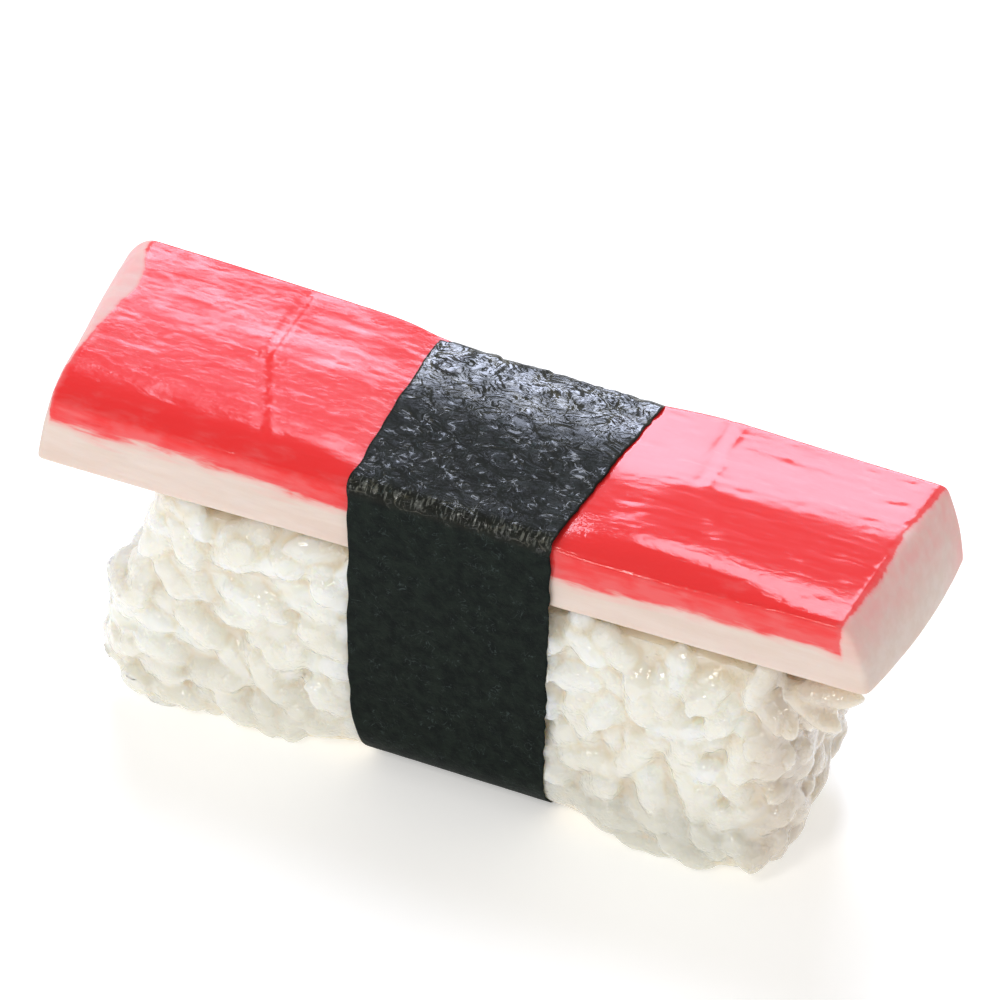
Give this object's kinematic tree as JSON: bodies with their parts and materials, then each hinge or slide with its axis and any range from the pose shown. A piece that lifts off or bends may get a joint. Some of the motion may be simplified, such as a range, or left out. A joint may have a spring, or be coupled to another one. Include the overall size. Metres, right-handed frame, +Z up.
{
  "type": "surimi nigiri",
  "caption": "Block of pressed rice under a dyed stick of surimi, bound together round the middle by a band of dried seaweed.",
  "frame": {"origin": "centre of the bounding box in X and Y, on the surface it stands on", "axes": "+X along the stick, towards its thinner end; +Y to the back, away from the dyed front edge; +Z up"},
  "size_m": [0.081, 0.0225, 0.0341],
  "materials": {
    "rice": "moist",
    "surimi": "moist",
    "nori": "crinkled"
  },
  "bodies": {
    "root": {"rice": "rice", "surimi_stick": "surimi", "nori_band": "nori"}
  },
  "joints": []
}
